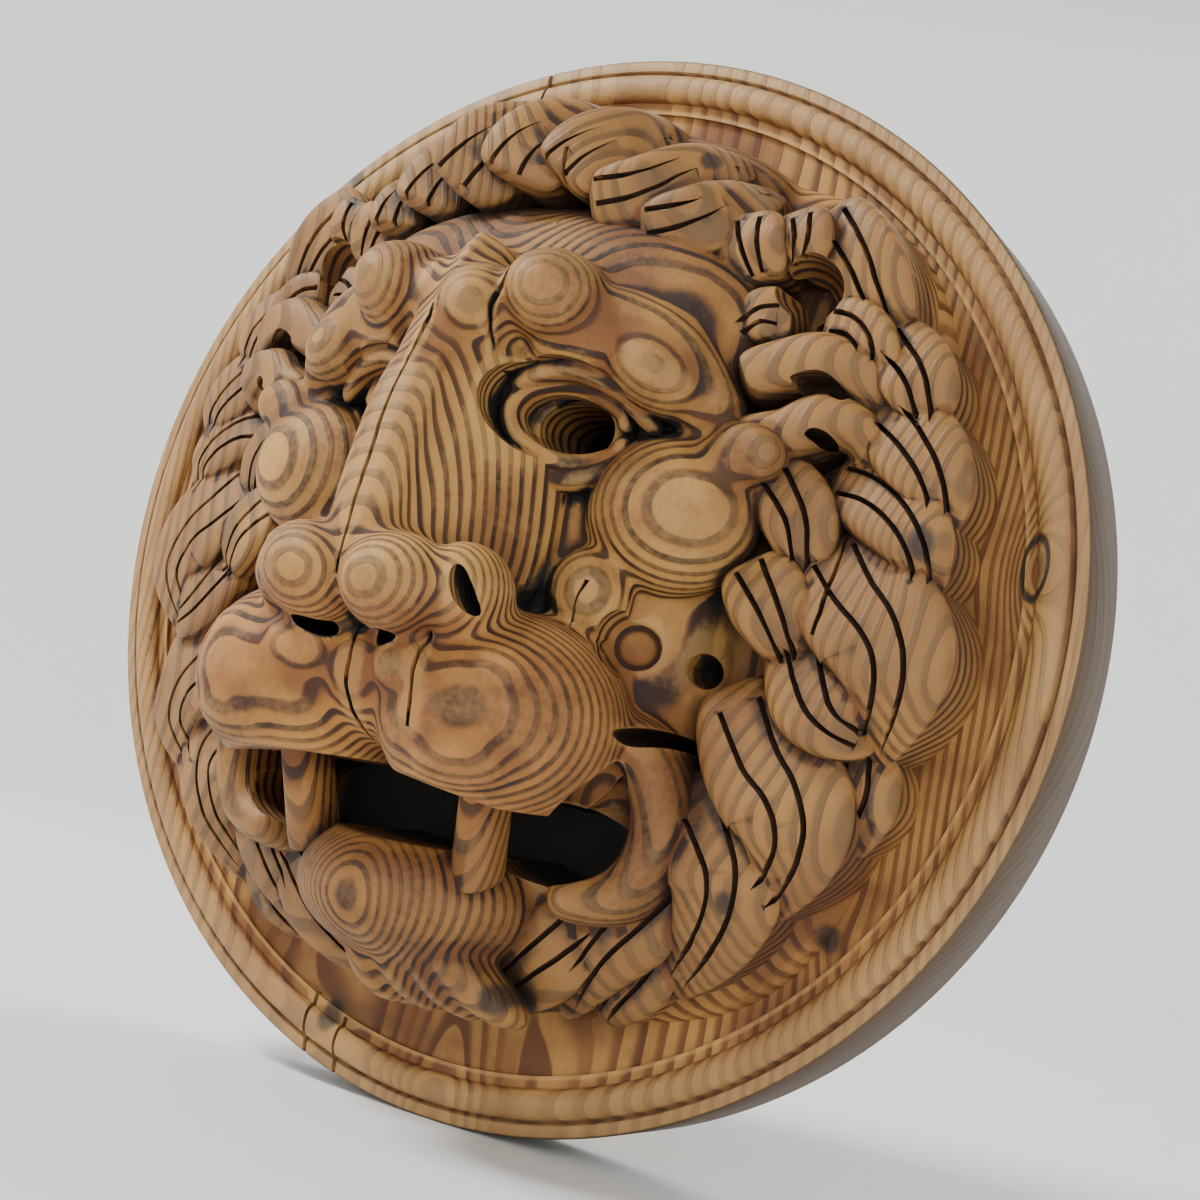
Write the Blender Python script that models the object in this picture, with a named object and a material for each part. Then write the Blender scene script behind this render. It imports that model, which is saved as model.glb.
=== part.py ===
"""Carved lion mask: a turned pine disc with the lion's head standing out of its front.

The whole mask is one block of wood, so it is one solid. Metres, +Z up. The back is the plane Y = 0,
its centre is the origin and the lion looks along -Y.
"""
import math

import bmesh
import bpy
from mathutils import Vector

# Turned disc
DISC_RADIUS = 0.200
WALL_DEPTH = 0.0370
BACK_CHAMFER = 0.0012
ARRIS = 0.0010
BAND_WIDTH = 0.0034
GROOVE_WIDTH = 0.0018
GROOVE_DEPTH = 0.0014
TORUS_WIDTH = 0.0108
TORUS_RISE = 0.0034
FILLET_WIDTH = 0.0042
FILLET_DEPTH = 0.0366
FIELD_DEPTH = 0.0350
DISC_STEPS = 72
TORUS_STEPS = 4

# Carving. Places are shares of CARVING_SIZE: x to the lion's left as the viewer sees it on the right,
# y up, and h the height above the field. The mask is the same on both sides of x = 0 but for a few locks.
CARVING_SIZE = 0.200
VOXEL = 0.0030
SOFTEN_FACTOR = 0.5
FACE_SMOOTHING_STEPS = 5
CARVING_SMOOTHING_STEPS = 1
KEPT_FACES = 0.047
KEPT_CUT_FACES = 0.070
LUMP_DETAIL = 3
LOCK_SIDES = 14
LOCK_RINGS = 16
SHINGLE_LEAN = 0.26
RIDGE_POWER = 1.35
LEFT_DROP = 0.45

WOOD_COLOUR = (0.42, 0.25, 0.12, 1.0)
WOOD_ROUGHNESS = 0.62


def clear_scene():
    for item in list(bpy.data.objects):
        bpy.data.objects.remove(item)


def wood_material():
    material = bpy.data.materials.new("pine")
    material.use_nodes = True
    shader = material.node_tree.nodes["Principled BSDF"]
    shader.inputs["Base Color"].default_value = WOOD_COLOUR
    shader.inputs["Roughness"].default_value = WOOD_ROUGHNESS
    shader.inputs["Metallic"].default_value = 0.0
    return material


def place(x, y, h):
    """A point of the carving in metres: x right, y up, h above the field, and never deeper than mid disc."""
    return Vector((x * CARVING_SIZE, -max(FIELD_DEPTH + h * CARVING_SIZE, FIELD_DEPTH / 2), y * CARVING_SIZE))


# The turned disc

def disc_profile():
    """Radius and depth of the disc's section, from the middle of the back round to the middle of the field."""
    band_inner = DISC_RADIUS - ARRIS - BAND_WIDTH
    torus_outer = band_inner - GROOVE_WIDTH
    torus_inner = torus_outer - TORUS_WIDTH
    field_edge = torus_inner - FILLET_WIDTH
    points = [
        (DISC_RADIUS - BACK_CHAMFER, 0.0),
        (DISC_RADIUS, BACK_CHAMFER),
        (DISC_RADIUS, WALL_DEPTH - ARRIS),
        (DISC_RADIUS - ARRIS, WALL_DEPTH),
        (band_inner, WALL_DEPTH),
        (band_inner - GROOVE_WIDTH / 2, WALL_DEPTH - GROOVE_DEPTH),
    ]
    for step in range(TORUS_STEPS + 1):
        angle = math.pi * step / TORUS_STEPS
        radius = (torus_outer + torus_inner) / 2 + TORUS_WIDTH / 2 * math.cos(angle)
        points.append((radius, WALL_DEPTH + TORUS_RISE * math.sin(angle)))
    points += [(torus_inner, FILLET_DEPTH), (field_edge, FILLET_DEPTH), (field_edge, FIELD_DEPTH)]
    return points


def turned_disc():
    mesh = bpy.data.meshes.new("lion_mask")
    shape = bmesh.new()
    profile = [shape.verts.new((radius, -depth, 0.0)) for radius, depth in disc_profile()]
    edges = [shape.edges.new(pair) for pair in zip(profile, profile[1:])]
    bmesh.ops.spin(shape, geom=profile + edges, cent=(0, 0, 0), axis=(0, 1, 0),
                   angle=math.tau, steps=DISC_STEPS, use_merge=True)
    bmesh.ops.remove_doubles(shape, verts=shape.verts, dist=1e-6)
    rims = [edge for edge in shape.edges if edge.is_boundary]
    bmesh.ops.holes_fill(shape, edges=rims, sides=0)
    bmesh.ops.recalc_face_normals(shape, faces=shape.faces)
    shape.to_mesh(mesh)
    shape.free()
    return bpy.data.objects.new("lion_mask", mesh)


# Shapes that the carver's forms are made of

def lump(shape, at, size, turn=0.0, power=1.0):
    """An egg-shaped swelling: its middle and its three half sizes, turned about the line of sight.

    A power under 1 squares it off, so that it has a flatter top and steeper sides.
    """
    made = bmesh.ops.create_icosphere(shape, subdivisions=LUMP_DETAIL, radius=1.0)["verts"]
    cosine, sine = math.cos(turn), math.sin(turn)
    for vert in made:
        across = boxy(vert.co.x, power) * size[0]
        up = boxy(vert.co.y, power) * size[1]
        out = boxy(vert.co.z, power) * size[2]
        vert.co = place(at[0] + across * cosine - up * sine, at[1] + across * sine + up * cosine, at[2] + out)


def smooth_path(points, share):
    """A point on the smooth curve through the given points, share 0 to 1 of the way along."""
    last = len(points) - 1
    span = min(int(share * last), last - 1)
    t = share * last - span
    before = Vector(points[max(span - 1, 0)])
    start = Vector(points[span])
    end = Vector(points[span + 1])
    after = Vector(points[min(span + 2, last)])
    return 0.5 * (2 * start + (end - before) * t + (2 * before - 5 * start + 4 * end - after) * t ** 2
                  + (3 * start - before - 3 * end + after) * t ** 3)


def boxy(share, power):
    """Squares off a round section under power 1, and sharpens it to a ridge over power 1."""
    return math.copysign(abs(share) ** power, share)


def sweep(shape, points, width, thick, root=1.0, tip=0.35, power=0.8, lean=0.0, footed=False, ridged=False):
    """A closed tapering roll along a smooth path of (x, y, h) points.

    width and thick are its half sizes across and outwards; root and tip are shares of them at its ends, lean
    tips its crest over to one side, a footed one has upright flanks that run down into the disc, and a ridged
    one has two flat sides that meet in a ridge.
    """
    made = bmesh.ops.create_uvsphere(shape, u_segments=LOCK_SIDES, v_segments=LOCK_RINGS, radius=1.0)["verts"]
    for vert in made:
        share = math.acos(max(-1.0, min(1.0, vert.co.z))) / math.pi
        if share < 0.4:
            full = root + (1 - root) * math.sin(math.pi / 2 * share / 0.4)
        else:
            full = tip + (1 - tip) * math.cos(math.pi / 2 * (share - 0.4) / 0.6)
        full *= math.sqrt(max(0.0, 1 - abs(2 * share - 1) ** 8))
        middle = smooth_path(points, share)
        ahead = smooth_path(points, min(share + 0.02, 1.0)) - smooth_path(points, max(share - 0.02, 0.0))
        level = ahead.cross(Vector((0.0, 0.0, 1.0))).normalized()
        upright = level.cross(ahead).normalized()
        side = level * math.cos(lean) + upright * math.sin(lean)
        out = upright * math.cos(lean) - level * math.sin(lean)
        ring = math.hypot(vert.co.x, vert.co.y)
        if ring > 1e-6:
            middle += side * (width * full * boxy(vert.co.x / ring, min(power, 1.0)))
            rise = boxy(vert.co.y / ring, power)
            if ridged:
                rise = 1 - abs(vert.co.x / ring) ** RIDGE_POWER
            if footed and vert.co.y < -0.01:
                middle.z = -FIELD_DEPTH / CARVING_SIZE
            else:
                middle += out * (thick * min(full * 1.3, 1.0) * rise)
        vert.co = place(*middle)


def both_sides(maker, shape, points, *sizes, **more):
    """The same form on the right and, mirrored, on the left."""
    maker(shape, points, *sizes, **more)
    if isinstance(points[0], (int, float)):
        mirrored = (-points[0],) + tuple(points[1:])
    else:
        mirrored = [(-point[0],) + tuple(point[1:]) for point in points]
    for turned in ("turn", "lean"):
        if turned in more:
            more[turned] = -more[turned]
    maker(shape, mirrored, *sizes, **more)


# The face

def head_masses(shape):
    """The ground of the mane, nearly flat, and the face and forehead standing on it."""
    lump(shape, (0, 0.01, -0.10), (0.745, 0.770, 0.205), power=0.55)
    lump(shape, (0, -0.07, -0.05), (0.50, 0.60, 0.36), power=0.85)
    lump(shape, (0.02, 0.40, 0.13), (0.43, 0.235, 0.245), power=0.85)
    lump(shape, (0.02, 0.70, 0.00), (0.36, 0.140, 0.24))


def brow(shape):
    both_sides(lump, shape, (0.105, 0.385, 0.40), (0.100, 0.095, 0.125))
    both_sides(sweep, shape, [(0.10, 0.350, 0.38), (0.20, 0.370, 0.34), (0.32, 0.345, 0.28), (0.42, 0.245, 0.20)],
               0.080, 0.080, root=0.9, tip=0.6)
    both_sides(lump, shape, (0.300, 0.330, 0.270), (0.110, 0.070, 0.105), turn=-0.45)


def nose(shape):
    """A ridge with two steep flat sides, running out into two lobes and the wings of the nostrils."""
    sweep(shape, [(0, 0.43, 0.20), (0, 0.31, 0.26), (0, 0.18, 0.29), (0, 0.04, 0.31), (0, -0.14, 0.32)],
          0.190, 0.290, root=0.52, tip=1.0, footed=True, ridged=True)
    both_sides(lump, shape, (0.085, -0.120, 0.570), (0.098, 0.080, 0.095))
    both_sides(lump, shape, (0.160, -0.110, 0.49), (0.068, 0.085, 0.105))


def cheeks(shape):
    both_sides(lump, shape, (0.355, 0.100, 0.230), (0.150, 0.135, 0.130))
    both_sides(sweep, shape, [(0.40, 0.14, 0.24), (0.47, 0.21, 0.22), (0.53, 0.20, 0.20)], 0.06, 0.08)
    both_sides(lump, shape, (0.262, -0.057, 0.285), (0.072, 0.080, 0.070))


def muzzle(shape):
    both_sides(lump, shape, (0.190, -0.285, 0.345), (0.205, 0.178, 0.225))
    lump(shape, (0, -0.24, 0.36), (0.15, 0.13, 0.180))
    lump(shape, (0.010, -0.595, 0.200), (0.215, 0.130, 0.225))
    lump(shape, (0, -0.53, 0.06), (0.36, 0.17, 0.18))
    for side in (-1, 0, 1, 2):
        sweep(shape, [(0.01 + 0.05 * side, -0.66, 0.27), (0.04 + 0.07 * side, -0.725, 0.22),
                      (0.08 + 0.08 * side, -0.765, 0.15)], 0.036, 0.06, root=1.0, tip=0.3)


def mouth_corners(shape):
    """The folds of lip that curl round the ends of the mouth."""
    both_sides(sweep, shape, [(0.31, -0.25, 0.24), (0.40, -0.30, 0.20), (0.435, -0.41, 0.17), (0.39, -0.52, 0.17),
                              (0.26, -0.555, 0.20)], 0.050, 0.095, root=0.8, tip=0.9)


# The mane

def lock(shape, path, width, root=0.6, tip=0.12, thick=0.034, lean=0.0):
    """A lock: a flat-topped leaf with crisp edges, whose crest follows the path of (x, y, h) points."""
    sunk = [(x, y, h - thick) for x, y, h in path]
    sweep(shape, sunk, width, thick, root=root, tip=tip, power=0.5, lean=lean, footed=True)


def ears(shape):
    """Two hoods, one above the other."""
    both_sides(sweep, shape, [(0.42, 0.335, 0.21), (0.480, 0.365, 0.19), (0.545, 0.390, 0.17), (0.605, 0.375, 0.14),
                              (0.635, 0.315, 0.08)], 0.050, 0.065, root=1.0, tip=0.6, power=0.7, footed=True)
    both_sides(sweep, shape, [(0.43, 0.235, 0.21), (0.510, 0.255, 0.19), (0.565, 0.290, 0.17), (0.620, 0.285, 0.14),
                              (0.635, 0.235, 0.08)], 0.046, 0.065, root=1.0, tip=0.6, power=0.7, footed=True)


def curl(shape):
    """The ring of lobes above the ear, round a hollow."""
    for path, width in (
        ([(0.395, 0.640, 0.24), (0.405, 0.580, 0.25), (0.425, 0.520, 0.22)], 0.062),
        ([(0.490, 0.665, 0.22), (0.500, 0.615, 0.23), (0.485, 0.560, 0.19)], 0.050),
        ([(0.520, 0.690, 0.18), (0.590, 0.615, 0.20), (0.635, 0.535, 0.18), (0.665, 0.465, 0.12)], 0.072),
        ([(0.550, 0.470, 0.19), (0.610, 0.465, 0.20), (0.645, 0.420, 0.19), (0.615, 0.375, 0.12)], 0.055),
        ([(0.480, 0.465, 0.22), (0.435, 0.450, 0.24), (0.405, 0.415, 0.24)], 0.050),
    ):
        both_sides(lock, shape, path, width, root=0.8, tip=0.5)


def side_locks(shape):
    """The locks beside the ear, the cheek and the jaw, from top to bottom, each lapping over the one below."""
    for path, width in (
        ([(0.650, 0.475, 0.16), (0.735, 0.405, 0.18), (0.770, 0.310, 0.15)], 0.066),
        ([(0.650, 0.350, 0.16), (0.740, 0.295, 0.18), (0.805, 0.225, 0.18), (0.825, 0.140, 0.14)], 0.074),
        ([(0.590, 0.200, 0.17), (0.700, 0.185, 0.19), (0.790, 0.120, 0.19), (0.820, 0.020, 0.15)], 0.072),
        ([(0.500, 0.200, 0.23), (0.570, 0.116, 0.23), (0.583, 0.020, 0.19)], 0.062),
        ([(0.600, 0.100, 0.18), (0.690, 0.020, 0.21), (0.775, -0.050, 0.21), (0.800, -0.145, 0.20),
          (0.745, -0.275, 0.13)], 0.105),
        ([(0.500, 0.040, 0.24), (0.560, -0.030, 0.25), (0.605, -0.120, 0.20)], 0.066),
        ([(0.595, -0.050, 0.19), (0.650, -0.140, 0.22), (0.705, -0.195, 0.22), (0.780, -0.225, 0.17)], 0.075),
        ([(0.495, -0.150, 0.20), (0.580, -0.265, 0.22), (0.665, -0.345, 0.22), (0.680, -0.440, 0.20),
          (0.600, -0.565, 0.13)], 0.100),
        ([(0.730, -0.220, 0.13), (0.760, -0.320, 0.14), (0.710, -0.440, 0.10)], 0.060),
        ([(0.445, -0.310, 0.19), (0.530, -0.410, 0.21), (0.575, -0.500, 0.20), (0.545, -0.610, 0.16),
          (0.460, -0.720, 0.10)], 0.090),
        ([(0.480, -0.430, 0.16), (0.420, -0.545, 0.18), (0.355, -0.650, 0.17), (0.270, -0.800, 0.10)], 0.078),
        ([(0.330, -0.570, 0.18), (0.235, -0.690, 0.18), (0.110, -0.810, 0.10)], 0.076),
        ([(0.440, -0.600, 0.13), (0.410, -0.690, 0.12), (0.340, -0.790, 0.08)], 0.060),
    ):
        lock(shape, path, width, lean=SHINGLE_LEAN)
        left = [(-x, y, h * (1 - LEFT_DROP * x * x)) for x, y, h in path]
        lock(shape, left, width, lean=-SHINGLE_LEAN)


def crown(shape):
    """The high tuft over the forehead and the strands on either side of it."""
    for path, width in (
        ([(-0.150, 0.610, 0.36), (-0.110, 0.699, 0.34), (-0.069, 0.776, 0.27), (-0.01, 0.836, 0.17)], 0.072),
        ([(-0.030, 0.625, 0.37), (-0.010, 0.705, 0.35), (0.030, 0.780, 0.28), (0.08, 0.840, 0.18)], 0.070),
        ([(0.055, 0.640, 0.36), (0.090, 0.710, 0.33), (0.140, 0.780, 0.26), (0.20, 0.830, 0.16)], 0.060),
        ([(-0.250, 0.590, 0.31), (-0.240, 0.690, 0.27), (-0.190, 0.790, 0.17)], 0.060),
        ([(0.110, 0.610, 0.33), (0.210, 0.650, 0.31), (0.277, 0.725, 0.25), (0.335, 0.785, 0.14)], 0.050),
        ([(0.205, 0.570, 0.30), (0.300, 0.605, 0.29), (0.355, 0.665, 0.23), (0.390, 0.740, 0.13)], 0.050),
        ([(-0.330, 0.560, 0.28), (-0.340, 0.640, 0.25), (-0.330, 0.740, 0.14)], 0.055),
        ([(0.02, -0.70, 0.15), (-0.03, -0.77, 0.13), (-0.10, -0.83, 0.07)], 0.060),
    ):
        lock(shape, path, width, root=0.8)


# What is cut away last, and what stands in the hollows

EYE_STEPS = 10


def eyes(shape):
    """What is left of the eyeballs, and the lower lids."""
    both_sides(lump, shape, (0.180, 0.213, 0.220), (0.100, 0.074, 0.105))
    rim = [(0.180 + 0.088 * math.cos(turn), 0.215 + 0.066 * math.sin(turn), 0.315 - 0.05 * math.cos(turn))
           for turn in (math.tau * step / EYE_STEPS for step in range(EYE_STEPS + 1))]
    both_sides(sweep, shape, rim, 0.020, 0.030, root=1.0, tip=1.0)
    both_sides(sweep, shape, [(0.065, 0.165, 0.33), (0.150, 0.122, 0.32), (0.245, 0.145, 0.29), (0.310, 0.220, 0.25)],
               0.022, 0.030, root=0.8, tip=0.7)


def fangs(shape):
    both_sides(sweep, shape, [(0.190, -0.36, 0.36), (0.180, -0.45, 0.33), (0.168, -0.56, 0.29)], 0.036, 0.05,
               root=1.1, tip=1.1)


def sockets(shape):
    """The hollows round the eyes, the open mouth and the hollow of each curl."""
    both_sides(lump, shape, (0.190, 0.225, 0.400), (0.125, 0.085, 0.135))
    both_sides(lump, shape, (0.505, 0.510, 0.220), (0.055, 0.055, 0.120))
    lump(shape, (0, -0.455, 0.22), (0.34, 0.062, 0.60))
    both_sides(lump, shape, (0.25, -0.465, 0.16), (0.13, 0.075, 0.34))
    both_sides(lump, shape, (0.340, -0.370, 0.30), (0.055, 0.085, 0.090), turn=-0.3)
    both_sides(lump, shape, (0.405, -0.272, 0.20), (0.045, 0.020, 0.16), turn=0.2)
    both_sides(lump, shape, (0.360, -0.125, 0.29), (0.060, 0.060, 0.080))
    both_sides(sweep, shape, [(0.520, 0.340, 0.20), (0.560, 0.352, 0.20), (0.600, 0.330, 0.18)], 0.016, 0.05)
    both_sides(sweep, shape, [(0.530, 0.250, 0.19), (0.568, 0.262, 0.19), (0.600, 0.250, 0.18)], 0.016, 0.05)


def holes(shape):
    """The pupils, the inner corners of the eyes and the nostrils."""
    both_sides(lump, shape, (0.178, 0.213, 0.24), (0.074, 0.054, 0.24))
    both_sides(lump, shape, (0.085, 0.155, 0.30), (0.028, 0.026, 0.12))
    both_sides(lump, shape, (0.080, -0.195, 0.46), (0.050, 0.028, 0.13), turn=0.2)
    both_sides(lump, shape, (0.198, -0.105, 0.50), (0.017, 0.045, 0.11), turn=0.35)
    both_sides(lump, shape, (0.434, -0.139, 0.18), (0.022, 0.030, 0.12))
    both_sides(lump, shape, (0.497, 0.470, 0.18), (0.022, 0.018, 0.12))


def guide(name, makers):
    """A hidden object that carries the forms the makers add."""
    mesh = bpy.data.meshes.new(name)
    shape = bmesh.new()
    for maker in makers:
        maker(shape)
    bmesh.ops.recalc_face_normals(shape, faces=shape.faces)
    shape.to_mesh(mesh)
    shape.free()
    item = bpy.data.objects.new(name, mesh)
    item.hide_render = True
    item.display_type = "WIRE"
    bpy.context.collection.objects.link(item)
    return item


def fuse(item):
    """Melts overlapping forms into one skin."""
    remesh = item.modifiers.new("fuse", "REMESH")
    remesh.mode = "VOXEL"
    remesh.voxel_size = VOXEL


def soften(item, repeats):
    smooth = item.modifiers.new("soften", "SMOOTH")
    smooth.factor = SOFTEN_FACTOR
    smooth.iterations = repeats


def thin(item, kept):
    decimate = item.modifiers.new("fewer faces", "DECIMATE")
    decimate.ratio = kept


def combine(item, other, operation):
    boolean = item.modifiers.new(operation.lower(), "BOOLEAN")
    boolean.operation = operation
    boolean.solver = "EXACT"
    boolean.object = other


def build():
    clear_scene()
    head = guide("face", [head_masses, brow, nose, cheeks, muzzle, mouth_corners])
    fuse(head)
    soften(head, FACE_SMOOTHING_STEPS)
    hair = guide("mane", [ears, curl, side_locks, crown])
    fuse(hair)
    combine(head, hair, "UNION")
    fuse(head)
    soften(head, CARVING_SMOOTHING_STEPS)
    thin(head, KEPT_FACES)
    for name, makers, operation in (("hollows", [sockets], "DIFFERENCE"), ("teeth", [eyes, fangs], "UNION"),
                                    ("openings", [holes], "DIFFERENCE")):
        other = guide(name, makers)
        fuse(other)
        thin(other, KEPT_CUT_FACES)
        combine(head, other, operation)
    mask = turned_disc()
    bpy.context.collection.objects.link(mask)
    combine(mask, head, "UNION")
    mask.data.materials.append(wood_material())


build()
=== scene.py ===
"""Carved lion mask: a block of pine turned to a moulded disc, with a lion's head standing out of its front.

Metres, +Z up. The back is the plane Y = 0, its centre is the origin and the lion looks along -Y.
"""
import math

import bmesh
import bpy
import numpy
from mathutils import Matrix, Vector
from mathutils.bvhtree import BVHTree


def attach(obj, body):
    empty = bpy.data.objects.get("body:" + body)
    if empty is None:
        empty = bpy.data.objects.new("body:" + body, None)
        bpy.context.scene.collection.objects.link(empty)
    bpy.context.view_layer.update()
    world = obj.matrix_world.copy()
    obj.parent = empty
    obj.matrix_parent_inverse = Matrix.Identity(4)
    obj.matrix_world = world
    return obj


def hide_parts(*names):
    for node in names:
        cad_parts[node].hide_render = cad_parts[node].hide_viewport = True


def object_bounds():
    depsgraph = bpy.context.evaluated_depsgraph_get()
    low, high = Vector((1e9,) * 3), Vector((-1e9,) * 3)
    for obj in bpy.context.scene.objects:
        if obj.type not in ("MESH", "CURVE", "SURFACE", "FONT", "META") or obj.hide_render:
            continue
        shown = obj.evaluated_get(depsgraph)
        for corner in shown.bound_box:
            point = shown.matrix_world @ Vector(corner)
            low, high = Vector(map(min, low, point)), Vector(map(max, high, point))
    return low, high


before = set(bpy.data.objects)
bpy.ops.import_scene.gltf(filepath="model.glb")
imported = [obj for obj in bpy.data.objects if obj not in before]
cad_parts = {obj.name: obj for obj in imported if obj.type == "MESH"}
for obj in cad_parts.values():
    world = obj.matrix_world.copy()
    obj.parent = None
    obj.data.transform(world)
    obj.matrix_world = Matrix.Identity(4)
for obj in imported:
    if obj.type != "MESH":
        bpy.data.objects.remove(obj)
cad_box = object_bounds()


# ---------------------------------------------------------------------------------------------------------
# The turned disc. The real piece is the back of the block, about a tenth of its width thick. It was turned
# on a lathe before the head was carved: a plain edge, a narrow flat band, a groove, a rounded moulding and
# a small step down to the flat field.
# ---------------------------------------------------------------------------------------------------------

low, high = (Vector(corner) for corner in cad_box)
DISC_RADIUS = (high.x - low.x) / 2
WALL_DEPTH = 0.0370
BACK_CHAMFER = 0.0012
ARRIS = 0.0010
BAND_WIDTH = 0.0034
GROOVE_WIDTH = 0.0018
GROOVE_DEPTH = 0.0014
TORUS_WIDTH = 0.0108
TORUS_RISE = 0.0034
FILLET_WIDTH = 0.0042
FILLET_DEPTH = 0.0366
FIELD_DEPTH = 0.0350
DISC_STEPS = 240
TORUS_STEPS = 10


def disc_profile():
    """Radius and depth of the disc's section, from the edge of the back round to the edge of the field."""
    band_inner = DISC_RADIUS - ARRIS - BAND_WIDTH
    torus_outer = band_inner - GROOVE_WIDTH
    torus_inner = torus_outer - TORUS_WIDTH
    field_edge = torus_inner - FILLET_WIDTH
    points = [
        (DISC_RADIUS - BACK_CHAMFER, 0.0),
        (DISC_RADIUS, BACK_CHAMFER),
        (DISC_RADIUS, WALL_DEPTH - ARRIS),
        (DISC_RADIUS - ARRIS, WALL_DEPTH),
        (band_inner, WALL_DEPTH),
        (band_inner - GROOVE_WIDTH / 2, WALL_DEPTH - GROOVE_DEPTH),
    ]
    for step in range(TORUS_STEPS + 1):
        angle = math.pi * step / TORUS_STEPS
        radius = (torus_outer + torus_inner) / 2 + TORUS_WIDTH / 2 * math.cos(angle)
        points.append((radius, WALL_DEPTH + TORUS_RISE * math.sin(angle)))
    return points + [(torus_inner, FILLET_DEPTH), (field_edge, FILLET_DEPTH), (field_edge, FIELD_DEPTH)]


def turned_disc():
    shape = bmesh.new()
    profile = [shape.verts.new((radius, -depth, 0.0)) for radius, depth in disc_profile()]
    edges = [shape.edges.new(pair) for pair in zip(profile, profile[1:])]
    bmesh.ops.spin(shape, geom=profile + edges, cent=(0, 0, 0), axis=(0, 1, 0),
                   angle=math.tau, steps=DISC_STEPS, use_merge=True)
    bmesh.ops.remove_doubles(shape, verts=shape.verts, dist=1e-6)
    rims = [edge for edge in shape.edges if edge.is_boundary]
    bmesh.ops.holes_fill(shape, edges=rims, sides=0)
    bmesh.ops.recalc_face_normals(shape, faces=shape.faces)
    return shape


def hidden_object(name, shape):
    """An object for a modifier to work on or cut with, from a mesh in the making."""
    mesh = bpy.data.meshes.new(name)
    shape.to_mesh(mesh)
    shape.free()
    item = bpy.data.objects.new(name, mesh)
    bpy.context.collection.objects.link(item)
    return item


disc = hidden_object("disc", turned_disc())


# ---------------------------------------------------------------------------------------------------------
# The lion's head. The real piece is the front of the same block, carved by hand with gouges: first the
# round masses of the face and the mane, then the nose, the pads, the brow and the locks, melted into one
# skin here as the carver's rasp left them. Places are shares of CARVING_SIZE: x right, y up, and h the
# height above the field.
# ---------------------------------------------------------------------------------------------------------

CARVING_SIZE = 0.200
VOXEL = 0.0016
SOFTEN_FACTOR = 0.5
FACE_SMOOTHING_STEPS = 12
LUMP_DETAIL = 5
LOCK_SIDES = 32
LOCK_RINGS = 40
SHINGLE_LEAN = 0.32
LOCK_FULLNESS = 1.05
MANE_BEND = 0.62
MANE_PULL = 0.80
RIDGE_POWER = 1.35
LEFT_DROP = 0.45


def place(x, y, h):
    """A point of the carving in metres: x right, y up, h above the field, and never deeper than mid disc."""
    return Vector((x * CARVING_SIZE, -max(FIELD_DEPTH + h * CARVING_SIZE, FIELD_DEPTH / 2), y * CARVING_SIZE))


def lump(forms, at, size, turn=0.0, power=1.0):
    """An egg-shaped swelling: its middle and its three half sizes, turned about the line of sight.

    A power under 1 squares it off, so that it has a flatter top and steeper sides.
    """
    shape = bmesh.new()
    made = bmesh.ops.create_icosphere(shape, subdivisions=LUMP_DETAIL, radius=1.0)["verts"]
    cosine, sine = math.cos(turn), math.sin(turn)
    for vert in made:
        across = boxy(vert.co.x, power) * size[0]
        up = boxy(vert.co.y, power) * size[1]
        out = boxy(vert.co.z, power) * size[2]
        vert.co = place(at[0] + across * cosine - up * sine, at[1] + across * sine + up * cosine, at[2] + out)
    forms.append(shape)


def smooth_path(points, share):
    """A point on the smooth curve through the given points, share 0 to 1 of the way along."""
    last = len(points) - 1
    span = min(int(share * last), last - 1)
    t = share * last - span
    before = Vector(points[max(span - 1, 0)])
    start = Vector(points[span])
    end = Vector(points[span + 1])
    after = Vector(points[min(span + 2, last)])
    return 0.5 * (2 * start + (end - before) * t + (2 * before - 5 * start + 4 * end - after) * t ** 2
                  + (3 * start - before - 3 * end + after) * t ** 3)


def boxy(share, power):
    """Squares off a round section under power 1, and sharpens it to a ridge over power 1."""
    return math.copysign(abs(share) ** power, share)


def sweep(forms, points, width, thick, root=1.0, tip=0.35, power=0.8, lean=0.0, footed=False, ridged=False):
    """A closed tapering roll along a smooth path of (x, y, h) points.

    width and thick are its half sizes across and outwards; root and tip are shares of them at its ends, lean
    tips its crest over to one side, a footed one has upright flanks that run down into the disc, and a ridged
    one has two flat sides that meet in a ridge.
    """
    shape = bmesh.new()
    made = bmesh.ops.create_uvsphere(shape, u_segments=LOCK_SIDES, v_segments=LOCK_RINGS, radius=1.0)["verts"]
    for vert in made:
        share = math.acos(max(-1.0, min(1.0, vert.co.z))) / math.pi
        if share < 0.4:
            full = root + (1 - root) * math.sin(math.pi / 2 * share / 0.4)
        else:
            full = tip + (1 - tip) * math.cos(math.pi / 2 * (share - 0.4) / 0.6)
        full *= math.sqrt(max(0.0, 1 - abs(2 * share - 1) ** 8))
        middle = smooth_path(points, share)
        ahead = smooth_path(points, min(share + 0.02, 1.0)) - smooth_path(points, max(share - 0.02, 0.0))
        level = ahead.cross(Vector((0.0, 0.0, 1.0))).normalized()
        upright = level.cross(ahead).normalized()
        side = level * math.cos(lean) + upright * math.sin(lean)
        out = upright * math.cos(lean) - level * math.sin(lean)
        ring = math.hypot(vert.co.x, vert.co.y)
        if ring > 1e-6:
            middle += side * (width * full * boxy(vert.co.x / ring, min(power, 1.0)))
            rise = boxy(vert.co.y / ring, power)
            if ridged:
                rise = 1 - abs(vert.co.x / ring) ** RIDGE_POWER
            if footed and vert.co.y < -0.01:
                middle.z = -FIELD_DEPTH / CARVING_SIZE
            else:
                middle += out * (thick * min(full * 1.3, 1.0) * rise)
        vert.co = place(*middle)
    forms.append(shape)


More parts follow.
